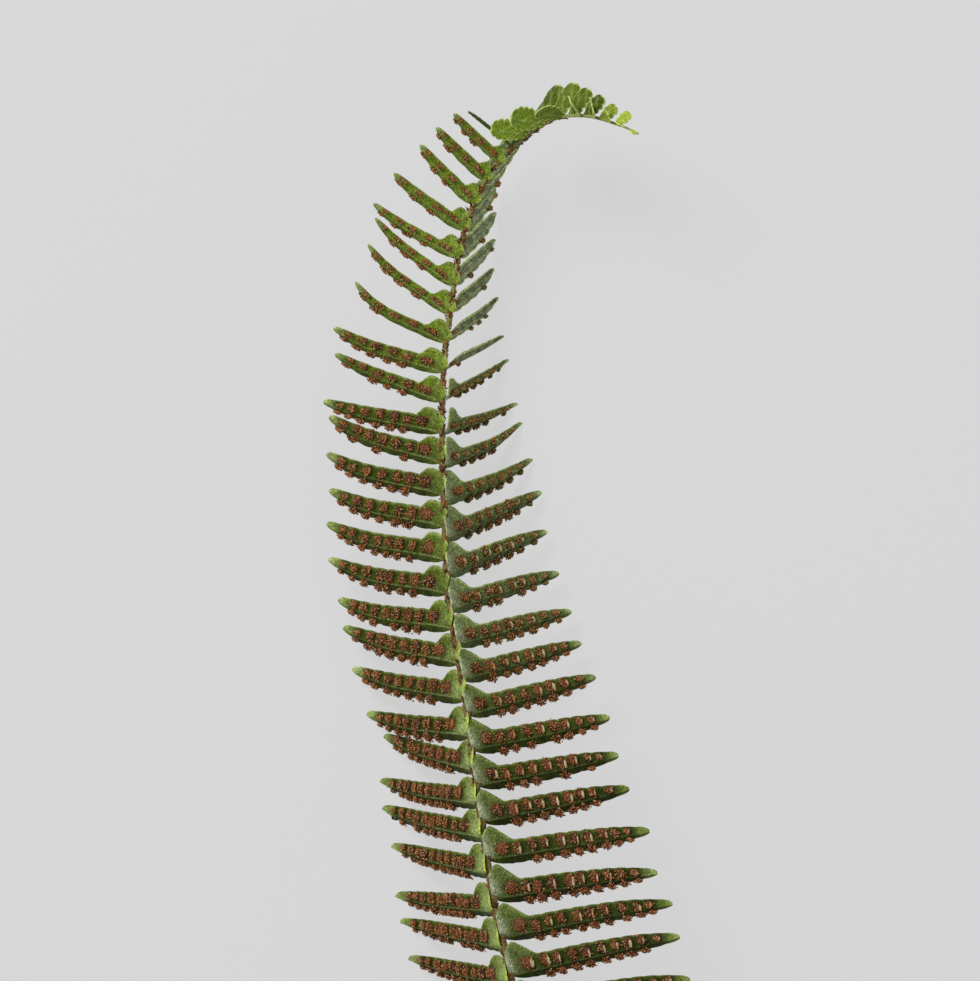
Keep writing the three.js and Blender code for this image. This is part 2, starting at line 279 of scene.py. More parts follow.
class Leaflet:
    """The place, axes, outline and surface of one leaflet."""

    def __init__(self, number, side, draws, extra):
        place = PLACE_LEFT if side < 0 else PLACE_RIGHT
        s = float(place(number))
        along, face, right = stem_frame(s)
        share = (LEFT_SHARE if side < 0 else RIGHT_SHARE)(s)
        self.s = s
        self.side = side
        self.length = float(LENGTH(s) * share * (1 + LENGTH_JITTER * draws.next()))
        lean_of = LEAN_LEFT if side < 0 else LEAN_RIGHT
        lean = math.radians(lean_of(s) + LEAN_JITTER * draws.next())
        lift = math.radians(RAISE(s) + (STAND_LEFT(s) if side < 0 else 0))
        tilt = math.radians((TILT_LEFT if side < 0 else TILT_RIGHT)(s))
        out = right * side * math.cos(lift) - face * math.sin(lift)
        edge = along * math.cos(lean) - out * math.sin(lean)
        self.axis = out * math.cos(lean) + along * math.sin(lean)
        normal = np.cross(self.axis, edge) * side
        self.upper = edge * math.cos(tilt) + normal * math.sin(tilt)
        self.front = normal * math.cos(tilt) - edge * math.sin(tilt)
        self.root = centre(s) - face * ROOT_DEPTH * STEM_RADIUS(s)
        self.width = float((HALF_WIDTH_LEFT if side < 0 else HALF_WIDTH_RIGHT)(s))
        self.ear = float((EAR_LEFT if side < 0 else EAR_RIGHT)(s) * (place(number + 1) - s))
        self.barren = s > FIRST_BARREN
        self.fold = math.radians((FOLD_LEFT if side < 0 else FOLD_RIGHT)(s))
        self.sag = float((SAG_LEFT if side < 0 else SAG_RIGHT)(s))
        self.earless = side > 0 and s > EARLESS_FROM
        self.heaps = 0 if self.barren else max(LEAST_HEAPS, round(float(HEAPS_PER_MM(s)) * self.length))
        self.high_up = float(clamp((s - HIGH_FROM) / HIGH_RUN))
        start, change = HEAPS_LEFT if side < 0 else HEAPS_RIGHT
        self.heap_from = start + change * self.high_up
        self.heap_to = HEAPS_END
        self.lower = LOWER_SHARE if side < 0 else LOWER_SHARE + MID_WIDER * float(MID_RIGHT(s))
        self.twist = math.radians(TWIST_JITTER * extra.next())
        self.curl = CURL_JITTER * extra.next()
        self.bow = BOW_JITTER * extra.next()
        self.shade = extra.next()
        self.ripple = extra.next()

    def heap_place(self, i):
        return self.heap_from + (self.heap_to - self.heap_from) * i / (self.heaps - 1)

    def lobe(self, u):
        """Between 0 in a notch of the margin and 1 in the middle of a scallop."""
        if self.barren:
            count = max(3.0, round(self.length * 0.8))
            return np.abs(np.sin(math.pi * (u * count + 0.15 * self.ripple))) ** 0.6
        step = (self.heap_to - self.heap_from) / (self.heaps - 1)
        return np.abs(np.cos(math.pi * (u - self.heap_from) / step)) ** 0.55

    def scallop(self, u, share=1.0):
        depth = sizes().scallop * (1.5 if self.barren else share)
        return 1 - depth * (1 - self.lobe(u)) * clamp((u - 0.1) * 12)

    def taper(self, u):
        if self.barren:
            return BARREN_OUTLINE(u)
        return BLADE_OUTLINE(u)

    def high(self, u):
        """How far the upper margin stands from the midrib."""
        blade = self.width * self.taper(u) * self.scallop(u, UPPER_SCALLOP) + LEAST_WIDTH
        if self.barren:
            return blade
        if self.earless:
            return blade * (0.2 + 0.8 * clamp(u / 0.35) ** 0.8)
        span = EAR_SPAN_LEFT if self.side < 0 else EAR_SPAN_RIGHT(self.s)
        place = clamp(u / span)
        ear = EAR_ROUND(place)
        if self.side > 0:
            ear = EAR_POINTED(place) * (1 - self.high_up) + EAR_BLUNT(place) * self.high_up
        ear = np.where(u < span, ear, 0)
        return blade + (self.ear - blade) * ear

    def low(self, u):
        """How far the lower margin stands from the midrib."""
        width = self.width * self.lower * self.taper(u) * self.scallop(u) + LEAST_WIDTH
        if self.barren:
            return width
        return width * (0.1 + 0.9 * clamp(u / 0.14) ** 0.7)

    def surface(self, u, q):
        """Points at a share of the length and a distance from the midrib, in millimetres."""
        u, q = np.broadcast_arrays(np.asarray(u, float), np.asarray(q, float))
        grow = np.minimum(1, u * 8 + 0.1)
        bend = np.where(q > 0, math.radians(FOLD_UPPER), self.fold) * grow
        margin = np.where(q > 0, self.high(u), self.low(u))
        share = clamp(np.abs(q) / margin)
        x = u * self.length
        rise = -np.abs(q) * np.sin(bend)
        if self.barren:
            rise = rise + BARREN_SWELL * (self.lobe(u) - 0.5) * share ** 2
            rise = rise + BARREN_CUP * share ** 2 * self.width / 3
        else:
            near = clamp(1 - u / EAR_ZONE)
            up = clamp(q / self.ear)
            reach = EAR_REACH_LEFT if self.side < 0 else EAR_REACH_RIGHT
            reach = reach * (1 - self.high_up) + EAR_REACH_HIGH * self.high_up
            x = x + near * (0.3 - reach * clamp(q) + 0.5 * clamp(-q / 1.5))
            rise = rise + near ** 2 * clamp(q / 1.2) * (EAR_STEP - EAR_STEP_LESS * self.high_up)
            rise = rise + EAR_SWELL * np.sin(math.pi * up) * clamp(1 - u / 0.22)
            rise = rise + LOBE_SWELL * (self.lobe(u) - 0.5) * share * clamp((u - 0.12) * 10)
        rise = rise - MARGIN_DROP * share ** 3
        rise = rise + RIB_HEIGHT * np.exp(-((q / RIB_WIDTH) ** 2)) * (1 - 0.6 * u)
        rise = rise + self.length * (self.curl * u ** 3 + self.bow * np.sin(math.pi * u))
        y = -self.sag * self.length * np.sin(math.pi * u ** SAG_BEND) + q * np.cos(bend)
        turn = self.twist * u
        y, rise = y * np.cos(turn) - rise * np.sin(turn), y * np.sin(turn) + rise * np.cos(turn)
        return (self.root + x[..., None] * self.axis + y[..., None] * self.upper
                + rise[..., None] * self.front)

    def seat(self, u, q):
        """A place on the face, with its normal, its direction along the leaflet and across it."""
        here = self.surface(u, q)
        along = unit(self.surface(u + 0.01, q) - self.surface(u - 0.01, q))
        across = self.surface(u, q + 0.1) - self.surface(u, q - 0.1)
        normal = unit(np.cross(along, across) * self.side)
        return here, normal, along, unit(np.cross(normal, along))


_leaflets = []


def leaflets():
    """All leaflets, the left row first, drawn once."""
    if not _leaflets:
        draws, extra = Draws(1269), Draws(4711)
        _leaflets.extend(Leaflet(n, -1, draws, extra) for n in range(LEAFLETS_LEFT))
        _leaflets.extend(Leaflet(n, 1, draws, extra) for n in range(LEAFLETS_RIGHT))
    return _leaflets


def tone(red, green, blue):
    """A colour as the eye reads it, 0 to 255, in the renderer's own scale."""
    shares = (value / 255 for value in (red, green, blue))
    return tuple(((c + 0.055) / 1.055) ** 2.4 if c > 0.04 else c / 12.92 for c in shares)


def colour(name, text, value):
    return FloatVectorProperty(name=name, description=text, subtype="COLOR", size=3, min=0, max=1,
                               default=tone(*value))


class FernSizes(bpy.types.PropertyGroup):
    """Sizes of the fine parts, in millimetres."""

    blade: FloatProperty(name="Blade thickness", description="Thickness of a leaflet", default=0.3,
                         min=0.1)
    scallop: FloatProperty(name="Scallop depth", default=0.15, min=0, max=0.5,
                           description="Depth of the margin's notches, as a share of its half width")
    grain: FloatProperty(name="Spore case", description="Radius of one spore case, larger than life",
                         default=0.165, min=0.05)
    grains: IntProperty(name="Spore cases in a heap", description="How many a heap shows", default=40,
                        min=3)
    scale_length: FloatProperty(name="Scale length", description="Length of a brown scale on the stem",
                                default=0.95, min=0.2)
    scales: IntProperty(name="Scales", description="How many brown scales cover the stem", default=2200,
                        min=0)


class FernColours(bpy.types.PropertyGroup):
    """Colours of the frond."""

    deep: colour("Deep green", "Old leaflets between the spore heaps", (52, 62, 8))
    fresh: colour("Fresh green", "Leaflets higher up the frond", (98, 118, 30))
    bright: colour("Tip green", "The young curled tip", (120, 144, 40))
    lemon: colour("Lemon green", "The very tip and the ears' inner margins", (170, 190, 62))
    # Grey-green painted sheen: the grazing reflection on the right ears and the upper right leaflets
    sheen_grey: colour("Mealy green", "The pale bloom on the right ears", (146, 154, 124))
    pale: colour("Pale green", "Midribs and margins", (156, 170, 110))
    rust: colour("Rust brown", "Ripe spore cases", (178, 107, 55))
    dark: colour("Dark brown", "Old spore cases and scales", (50, 29, 11))
    # Cream: the veils' own colour, also used for painted highlight specks on spore cases
    cream: colour("Cream", "The veils over the spore heaps", (210, 182, 148))
    bark: colour("Stem brown", "The stem's skin", (104, 84, 40))


class FernStage(bpy.types.PropertyGroup):
    """The table, the light and the camera."""

    floor: colour("Floor", "Colour of the pale table", (88, 88, 88))
    glow: FloatProperty(name="Table glow", description="How strongly the light table shines", default=5.9,
                        min=0)
    sky: FloatProperty(name="Sky light", description="Strength of the even light", default=0.5, min=0)
    key: FloatProperty(name="Window light", description="Power of the soft light from the upper left",
                       default=11.0, min=0, unit="POWER")
    distance: FloatProperty(name="Camera distance", description="Height of the camera over the stem",
                            default=2.6, min=0.2, unit="LENGTH")


def sizes():
    return bpy.context.scene.fern_sizes


def colours():
    return bpy.context.scene.fern_colours


def build_mesh(name, points, faces, tints, places=None):
    """A mesh object from points in millimetres, with a colour at each point."""
    mesh = bpy.data.meshes.new(name)
    points = np.asarray(points, float)
    points[:, 0] = np.maximum(points[:, 0], CAD_BOX[0][0] / MM)
    points[:, 2] = np.clip(points[:, 2], 0.02, CAD_BOX[1][2] / MM - 0.01)
    mesh.from_pydata((points * MM).tolist(), [], [list(face) for face in faces])
    layer = mesh.attributes.new("tint", "FLOAT_COLOR", "POINT")
    layer.data.foreach_set("color", np.c_[tints, np.ones(len(tints))].ravel())
    if places is not None:
        layer = mesh.attributes.new("leaf_place", "FLOAT_VECTOR", "POINT")
        layer.data.foreach_set("vector", np.asarray(places, float).ravel())
    piece = bpy.data.objects.new(name, mesh)
    bpy.context.scene.collection.objects.link(piece)
    mesh.shade_smooth()
    return piece


def finish_piece(piece, material):
    piece.data.materials.clear()
    piece.data.materials.append(material)
    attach(piece, "root")


def mix(a, b, share):
    share = clamp(np.asarray(share, float))[..., None]
    return np.asarray(a) * (1 - share) + np.asarray(b) * share


def strong(shade, factor):
    """A colour made lighter or darker."""
    return np.asarray(shade) * factor


class Number:
    """A shader number: an expression on it adds the maths nodes it needs."""

    def __init__(self, paint, socket):
        self.paint = paint
        self.socket = socket

    def __add__(self, other):
        return self.paint.maths("ADD", self, other)

    def __sub__(self, other):
        return self.paint.maths("SUBTRACT", self, other)

    def __rsub__(self, other):
        return self.paint.maths("SUBTRACT", other, self)

    def __mul__(self, other):
        return self.paint.maths("MULTIPLY", self, other)

    def __truediv__(self, other):
        return self.paint.maths("DIVIDE", self, other)

    def __abs__(self):
        return self.paint.maths("ABSOLUTE", self)

    __radd__ = __add__
    __rmul__ = __mul__


class Paint:
    """A material and the nodes that make it."""

    def __init__(self, name):
        self.material = bpy.data.materials.new(name)
        self.material.use_nodes = True
        self.tree = self.material.node_tree
        self.shader = self.tree.nodes["Principled BSDF"]

    def node(self, kind, settings=None, **links):
        made = self.tree.nodes.new(kind)
        for key, value in (settings or {}).items():
            setattr(made, key, value)
        for key, value in links.items():
            self.feed(made.inputs[key.replace("_", " ")], value)
        return made

    def attribute(self, name, output):
        return self.node("ShaderNodeAttribute", {"attribute_name": name}).outputs[output]

    def feed(self, socket, value):
        if isinstance(value, Number):
            value = value.socket
        if isinstance(value, bpy.types.NodeSocket):
            self.tree.links.new(value, socket)
        else:
            socket.default_value = value

    def maths(self, operation, *values):
        made = self.tree.nodes.new("ShaderNodeMath")
        made.operation = operation
        for socket, value in zip(made.inputs, values):
            self.feed(socket, value)
        return Number(self, made.outputs[0])

    def noise(self, scale, detail=2.0, roughness=0.55, vector=None):
        place = vector or self.node("ShaderNodeTexCoord").outputs["Object"]
        made = self.node("ShaderNodeTexNoise", Vector=place, Scale=scale, Detail=detail,
                         Roughness=roughness)
        return Number(self, made.outputs["Fac"])

    def blend(self, share, a, b, kind="MIX"):
        made = self.tree.nodes.new("ShaderNodeMix")
        made.data_type = "RGBA"
        made.blend_type = kind
        self.feed(made.inputs[0], share)
        self.feed(made.inputs[6], a)
        self.feed(made.inputs[7], b)
        return made.outputs[2]

    def smooth(self, value, low, high):
        made = self.node("ShaderNodeMapRange", {"interpolation_type": "SMOOTHSTEP"}, Value=value)
        made.inputs["From Min"].default_value = low
        made.inputs["From Max"].default_value = high
        return Number(self, made.outputs["Result"])

    def bump(self, height, strength, distance):
        made = self.node("ShaderNodeBump", Height=height, Strength=strength, Distance=distance)
        self.tree.links.new(made.outputs["Normal"], self.shader.inputs["Normal"])

    def set(self, **values):
        for key, value in values.items():
            self.feed(self.shader.inputs[key.replace("_", " ")], value)


def leaf_paint():
    paint = Paint("leaf_blade")
    tint = paint.attribute("tint", "Color")
    place = paint.attribute("leaf_place", "Vector")
    parts = paint.node("ShaderNodeSeparateXYZ", Vector=place)
    along, across, station = (Number(paint, parts.outputs[k]) for k in (0, 1, 2))
    grain = paint.noise(3200, 3.0, 0.6)
    blotch = paint.noise(1100, 3.0, 0.6)
    fork = paint.maths("FRACT", (along - abs(across) * 0.8 + blotch * 0.9) / 0.9)
    vein = 1 - paint.smooth(abs(fork - 0.5), 0.04, 0.2)
    # Speckle: painted glints where the noise is high (light) and painted shade specks where it is low
    # (shade)
    light = paint.smooth(grain * 0.65 + blotch * 0.35, 0.51, 0.62)
    shade = 1 - paint.smooth(grain * 0.65 + blotch * 0.35, 0.4, 0.5)
    # The painted glint and shade speckle is calmer towards the tip
    calm = 1 - 0.35 * paint.smooth(station, 300, 308)
    toned = paint.blend(shade * calm * 0.68, tint, (0.22, 0.28, 0.22, 1), "MULTIPLY")
    toned = paint.blend(light * calm * 0.6, toned, (2.3, 2.2, 2.1, 1), "MULTIPLY")
    toned = paint.blend(vein * 0.25, toned, (1.9, 1.8, 1.6, 1), "MULTIPLY")
    paint.set(Base_Color=toned, Roughness=0.68 - light * 0.2)
    paint.set(Specular_IOR_Level=0.1, Sheen_Weight=0.02, Sheen_Roughness=0.5)
    paint.bump(grain * 0.7 + vein * 0.3, 0.8, 0.00025)
    return paint.material


def heap_paint():
    paint = Paint("spore_heap")
    tint = paint.attribute("tint", "Color")
    grain = paint.noise(7000, 2.0)
    toned = paint.blend(paint.smooth(grain, 0.35, 0.7) * 0.45, tint, (0.45, 0.42, 0.4, 1), "MULTIPLY")
    paint.set(Base_Color=toned, Roughness=0.5 + grain * 0.2, Specular_IOR_Level=0.3)
    paint.bump(grain, 0.5, 0.0001)
    return paint.material


def stem_paint():
    paint = Paint("stem_skin")
    tint = paint.attribute("tint", "Color")
    place = paint.node("ShaderNodeTexCoord").outputs["Object"]
    long = paint.node("ShaderNodeMapping", {"vector_type": "POINT"}, Vector=place, Scale=(1, 0.16, 1))
    fibre = paint.noise(2600, 3.0, 0.6, long.outputs["Vector"])
    toned = paint.blend(paint.smooth(fibre, 0.38, 0.66) * 0.6, tint, (0.42, 0.34, 0.3, 1), "MULTIPLY")
    paint.set(Base_Color=toned, Roughness=0.55 + fibre * 0.2, Specular_IOR_Level=0.35)
    paint.bump(fibre, 0.6, 0.00015)
    return paint.material


def scale_paint():
    paint = Paint("stem_scale")
    tint = paint.attribute("tint", "Color")
    grain = paint.noise(4200, 2.0)
    toned = paint.blend(grain * 0.5, tint, (0.5, 0.45, 0.4, 1), "MULTIPLY")
    paint.set(Base_Color=toned, Roughness=0.6 + grain * 0.15, Specular_IOR_Level=0.25)
    return paint.material


def floor_paint():
    paint = Paint("pale_table")
    setup = bpy.context.scene.fern_stage
    shade = (*setup.floor, 1)
    paint.set(Base_Color=shade, Roughness=0.9, Specular_IOR_Level=0.1, Emission_Color=shade)
    paint.set(Emission_Strength=setup.glow)
    return paint.material


def leaf_columns(leaflet):
    """Shares of the length at which a blade has its rows of points."""
    if leaflet.barren:
        return np.r_[np.linspace(0, 0.9, 34), np.linspace(0.92, 1, 6)]
    near = np.linspace(0, 0.2, 13)
    far = np.linspace(0.2, 1, leaflet.heaps * 6)
    return np.r_[near, far[1:]]


# Places of points across a blade, from its lower to its upper margin
ACROSS = np.array([-1, -0.86, -0.62, -0.36, -0.12, 0, 0.1, 0.24, 0.38, 0.52, 0.66, 0.8, 0.91, 1])
RIPENESS_LEFT = through([
    (60, 0.25), (190, 0.25), (215, 0.35), (245, 0.5), (262, 0.9), (285, 1.5), (306, 1.8),
])
RIPENESS_RIGHT = through([
    (60, 0.1), (180, 0.12), (205, 0.5), (245, 0.9), (262, 1.1), (285, 1.2), (306, 1.3),
])
# How far a heap's painted shadow is shifted from it, in millimetres
SHADOW = 0.3
LEMON_FROM = 330
LEMON_RUN = 8


def heap_shadow(leaflet, u, q):
    """How near a point of a blade is to a spore heap, as its painted shadow: 1 at its foot, 0 away from
    it.
    """
    span = leaflet.heap_to - leaflet.heap_from
    gaps = leaflet.heaps - 1
    place = clamp((u - leaflet.heap_from) / span) * gaps
    along = (u - leaflet.heap_place(np.round(place))) * leaflet.length - SHADOW * leaflet.side
    along = along / (0.6 * (leaflet.length * span / gaps))
    upper = (q - 0.5 * leaflet.width * leaflet.taper(u) + SHADOW) / (0.58 * leaflet.width)
    lower = (q + 0.7 * leaflet.low(u)) / (0.4 * leaflet.width)
    return np.exp(-along ** 2) * np.maximum(np.exp(-upper ** 4), 0.8 * np.exp(-lower ** 2))


def barren_tint(leaflet, u, share, q, rim):
    """Colour of a young leaflet without heaps."""
    paints = colours()
    tip = clamp((leaflet.s - LEMON_FROM) / LEMON_RUN)
    light = mix(paints.pale, paints.lemon, 0.3)
    inner = mix(paints.deep, paints.fresh, 0.55 + 0.35 * leaflet.shade)
    if leaflet.side < 0:
        inner = mix(paints.fresh, paints.bright, 0.5 + 0.3 * leaflet.shade)
    base = mix(inner, paints.lemon, tip)
    streak = clamp(np.sin(u * 14 + q * 2.6 + 3 * leaflet.ripple)) ** 3
    base = mix(base, paints.deep, 0.7 * (1 - tip) * clamp(1 - u / 0.4 - 0.5 * share))
    base = mix(base, light, 0.3 * streak)
    base = mix(base, light * 1.35, 0.95 * rim)
    base = mix(base, paints.deep, 0.8 * clamp((313 - leaflet.s) / 3))
    return mix(base, light, 0.6 * np.exp(-((q / 0.12) ** 2)) * (1 - 0.6 * u))


def earless_tint(leaflet, base, u, share, q):
    """Painted grey sheen of the upper right leaflets, with light and dark streaks, painted shade bands and
    a pale margin with a painted highlight.
    """
    paints = colours()
    base = mix(base, strong(paints.sheen_grey, 1.8), 0.75 + 0.25 * leaflet.ripple)
    streak = np.sin(q * 5 + u * 17 + 4 * leaflet.ripple) + 0.5 * np.sin(q * 11 - u * 31)
    base = mix(base, strong(paints.pale, 1.6), 0.5 * clamp(streak - 0.1))
    base = mix(base, paints.deep, 0.4 * clamp(-streak - 0.2))
    # Painted shade: a dark band at six tenths of each half's width, and a dark line just above the midrib
    base = mix(base, strong(paints.deep, 0.6), 0.55 * np.exp(-(((share - 0.6) / 0.14) ** 2)))
    base = mix(base, paints.deep, 0.5 * np.exp(-(((q - 0.3) / 0.2) ** 2)))
    # Pale margin: partly its own colour, partly a painted highlight
    return mix(base, strong(paints.pale, 1.8), clamp((share - 0.74) / 0.12))


def right_tint(leaflet, base, u, q, ear, rim):
    """Painted grey sheen on the ears on the right, strongest next to the stem."""
    paints = colours()
    outer = (u * leaflet.length - 0.3) / (1.7 + 0.8 * leaflet.high_up)
    outer = outer + (1.5 - 1.0 * leaflet.high_up) * clamp(q / leaflet.ear - 0.35)
    sheen = clamp(ear * 1.6) * (1 - 0.9 * clamp(outer))
    base = mix(base, paints.fresh, 0.3 * ear)
    base = mix(base, paints.sheen_grey, 0.3 * leaflet.high_up)
    base = mix(base, strong(paints.sheen_grey, 1.25), sheen)
    return mix(base, strong(paints.pale, 1.3), 0.55 * rim * leaflet.high_up)


def left_tint(leaflet, base, u, share, q, ear):
    """Light inner margins of the ears on the left."""
    paints = colours()
    inner = clamp(1 - u / 0.06) * clamp(q / 0.6)
    ripe = 1 - leaflet.high_up
    light = (0.08 + 0.55 * ripe) * ear * clamp(1.4 - q / leaflet.ear)
    base = mix(base, paints.fresh, (0.25 + 0.5 * ripe) * ear)
    base = mix(base, paints.deep, 0.45 * leaflet.high_up * ear * clamp(1.2 - 1.3 * share))
    base = mix(base, strong(paints.pale, 1.3), light)
    return mix(base, strong(paints.lemon, 1 + 0.3 * ripe), (0.3 + 0.6 * ripe) * inner ** 2)


def leaf_tint(leaflet, u, share, q, back):
    """Colour of a blade at each of its points."""
    rim = np.maximum(clamp((share - 0.86) / 0.14), clamp((u - 0.95) / 0.04))
    if leaflet.barren:
        return barren_tint(leaflet, u, share, q, rim)
    paints = colours()
    left = leaflet.side < 0
    young = float((RIPENESS_LEFT if left else RIPENESS_RIGHT)(leaflet.s))
    base = mix(paints.deep, paints.fresh, young + 0.12 * leaflet.shade)
    base = mix(base, paints.bright, (young - 0.7) * (0.9 + 0.3 * leaflet.shade))
    margin = clamp((share - 0.7) / 0.25) * (q > 0)
    tongue = clamp((u - 0.86) / 0.1)
    ear = clamp((1 - u / 0.2) * 1.6) * clamp(q / 0.8)
    base = mix(base, paints.fresh, (0.75 - 0.3 * leaflet.high_up if left else 0.5) * margin)
    base = mix(base, paints.fresh, 0.8 * tongue)
    base = mix(base, strong(paints.pale, 1.3), ((0.45 if left else 0.2) + 0.2 * leaflet.ripple) * tongue)
    if left:
        base = left_tint(leaflet, base, u, share, q, ear)
    elif leaflet.earless:
        base = earless_tint(leaflet, base, u, share, q)
    else:
        base = right_tint(leaflet, base, u, q, ear, rim)
    # Pale upper margins: their own colour, brightened more higher up the frond as a painted highlight
    base = mix(base, strong(paints.pale, 1.2), (0.3 + 0.35 * leaflet.high_up) * rim * (q > 0))
    # Painted shade: the deep green darkened, for the heaps' painted shadow and the shade below the right
    # leaflets' midribs
    dark = strong(paints.deep, 0.4)
    base = mix(base, dark, heap_shadow(leaflet, u, q) * (0.95 - 0.35 * young))
    rib = np.exp(-((q / 0.12) ** 2)) * (0.5 if left else 0.2)
    base = mix(base, paints.pale, rib * (1 - 0.7 * u))
    # Painted shade just below the midrib of the right leaflets with ears
    if not left and not leaflet.earless:
        under = clamp(-q / 0.25) * clamp((u - 0.03) * 20)
        base = mix(base, dark, 0.5 * under * np.exp(-(((q + 0.2) / 0.5) ** 2)))
    return mix(base, paints.bright, 0.3) if back else base


def around(index):
    """The points on the outer edge of a grid, in order."""
    return np.r_[index[0, :], index[1:, -1], index[-1, -2::-1], index[-2:0:-1, 0]]


def blade_parts(leaflet):
    """One blade as a face grid, its back and the rim between them."""
    u = leaf_columns(leaflet)[:, None]
    share = ACROSS[None, :]
    q = np.where(share > 0, share * leaflet.high(u), share * leaflet.low(u))
    u = np.broadcast_to(u, q.shape)
    face = leaflet.surface(u, q)
    thick = sizes().blade * (0.55 + 0.45 * (1 - np.abs(share) ** 3))
    down = np.gradient(face, axis=0)
    over = np.gradient(face, axis=1)
    normal = np.cross(down, over) * leaflet.side
    normal /= np.maximum(np.linalg.norm(normal, axis=2, keepdims=True), 1e-9)
    back = face - normal * thick[..., None]
    face[..., 2] = np.maximum(face[..., 2], 0.05 + sizes().blade)
    back[..., 2] = np.maximum(back[..., 2], 0.05)
    rows, columns = q.shape
    index = np.arange(rows * columns).reshape(rows, columns)
    corners = [index[:-1, :-1], index[1:, :-1], index[1:, 1:], index[:-1, 1:]]
    quads = np.stack(corners, -1).reshape(-1, 4)
    ring = around(index)
    size = rows * columns
    ahead = np.roll(ring, -1)
    rim = np.stack([ring, ahead, ahead + size, ring + size], -1)
    if leaflet.side > 0:
        faces = np.vstack([quads, quads[:, ::-1] + size, rim])
    else:
        faces = np.vstack([quads[:, ::-1], quads + size, rim[:, ::-1]])
    points = np.vstack([face.reshape(-1, 3), back.reshape(-1, 3)])
    outward = np.broadcast_to(np.abs(share), q.shape)
    tints = [leaf_tint(leaflet, u, outward, q, hidden).reshape(-1, 3) for hidden in (False, True)]
    place = np.stack([u * leaflet.length, q, np.full(q.shape, leaflet.s)], -1).reshape(-1, 3)
    return points, faces, np.vstack(tints), np.vstack([place, place])


def gather(parts):
    """Joins parts, each of points, faces and values at the points, into one list of each."""
    points, faces, *values = zip(*parts)
    starts = np.cumsum([0] + [len(block) for block in points[:-1]])
    rows = [row for block, start in zip(faces, starts) for row in (block + start).tolist()]
    return (np.vstack(points), rows, *(np.vstack(value) for value in values))


class FERN_OT_leaflets(bpy.types.Operator):
    """Builds the left and the right row of leaflets"""

    bl_idname = "fern.leaflets"
    bl_label = "Leaflets"

    def execute(self, context):
        material = leaf_paint()
        rows = {"leaflets_left": -1, "leaflets_right": 1}
        for name, side in rows.items():
            parts = [blade_parts(leaflet) for leaflet in leaflets() if leaflet.side == side]
            piece = build_mesh(name, *gather(parts))
            finish_piece(piece, material)
            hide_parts(NODE)
        return {"FINISHED"}


STEM_SIDES = 14
STEM_STEP = 0.8
STEM_SHARE = 0.88
THIN_FROM = 330


class FERN_OT_stem(bpy.types.Operator):
    """Builds the stem from its cut end to its curled tip"""

    bl_idname = "fern.stem"
    bl_label = "Stem"

    def execute(self, context):
        paints = colours()
        stations = np.arange(CUT_END, STEM_TIP, STEM_STEP)
        turns = np.arange(STEM_SIDES) * 2 * math.pi / STEM_SIDES
        points, tints = [], []
        for s in stations:
            _, face, right = stem_frame(s)
            groove = 1 - 0.12 * np.exp(-(((turns - math.pi) / 0.5) ** 2))
            uneven = 1 + 0.05 * math.sin(s * 2.1) + 0.03 * math.sin(s * 5.3)
            radius = STEM_SHARE * STEM_RADIUS(s) * groove * uneven
            radius = radius * (1 - 0.5 * max(0, s - THIN_FROM) / (STEM_TIP - THIN_FROM))
            ring = np.outer(np.cos(turns) * radius, face), np.outer(np.sin(turns) * radius, right)
            points.append(centre(s) + ring[0] + ring[1])
            young = clamp((s - FIRST_BARREN) / 14)
            fresh = 0.15 + 0.3 * clamp((s - 235) / 50) + 0.2 * young
            skin = mix(paints.bark, mix(paints.pale, paints.lemon, 0.3), fresh)
            tints.append(np.broadcast_to(skin, (STEM_SIDES, 3)))
        rows = len(points)
        index = np.arange(rows * STEM_SIDES).reshape(rows, STEM_SIDES)
        ahead = np.roll(index, -1, axis=1)
        quads = np.stack([index[:-1], ahead[:-1], ahead[1:], index[1:]], -1).reshape(-1, 4)
        faces = quads[:, ::-1].tolist() + [index[0].tolist()] + [index[-1, ::-1].tolist()]
        piece = build_mesh("stem", np.vstack(points), faces, np.vstack(tints))
        finish_piece(piece, stem_paint())
        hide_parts(NODE)
        return {"FINISHED"}


# A scale of unit length: along it, across it and out of the stem
SCALE_POINTS = np.array([
    (0, 0, 0), (0.25, 0.5, 0.1), (0.25, -0.5, 0.1), (0.6, 0.4, 0.16), (0.6, -0.4, 0.16), (1, 0, 0.42),
    (0.4, 0, 0.32),
])
SCALE_FACES = np.array([
    (0, 1, 6), (1, 3, 6), (3, 5, 6), (5, 4, 6), (4, 2, 6), (2, 0, 6), (0, 2, 1), (1, 2, 4), (1, 4, 3),
    (3, 4, 5),
])
SCALE_SHAPE = (1, 0.34, 0.55)
SCALES_FROM = 2
SCALES_RUN = 322


class FERN_OT_scales(bpy.types.Operator):
    """Covers the stem with small brown scales"""

    bl_idname = "fern.scales"
    bl_label = "Stem scales"

    def execute(self, context):
        paints = colours()
        draws = np.random.RandomState(77)
        parts = []
        for _ in range(sizes().scales):
            s = SCALES_FROM + (draws.rand() ** 0.75) * SCALES_RUN
            along, face, right = stem_frame(s)
            turn = draws.normal(0, 1.3)
            radius = float(STEM_RADIUS(s))
            out = face * math.cos(turn) + right * math.sin(turn)
            side = np.cross(out, along)
            lean = draws.normal(0, 0.55)
            heading = along * math.cos(lean) + side * math.sin(lean)
            aside = np.cross(out, heading)
            size = sizes().scale_length * (0.6 + 0.8 * draws.rand())
            start = centre(s) + out * radius * 0.82
            points = start + (SCALE_POINTS * size * SCALE_SHAPE) @ np.array([heading, aside, out])
            tint = mix(paints.dark, paints.rust, draws.rand() ** 1.3)
            parts.append((points, SCALE_FACES, np.broadcast_to(tint, points.shape)))
        piece = build_mesh("stem_scales", *gather(parts))
        finish_piece(piece, scale_paint())
        return {"FINISHED"}


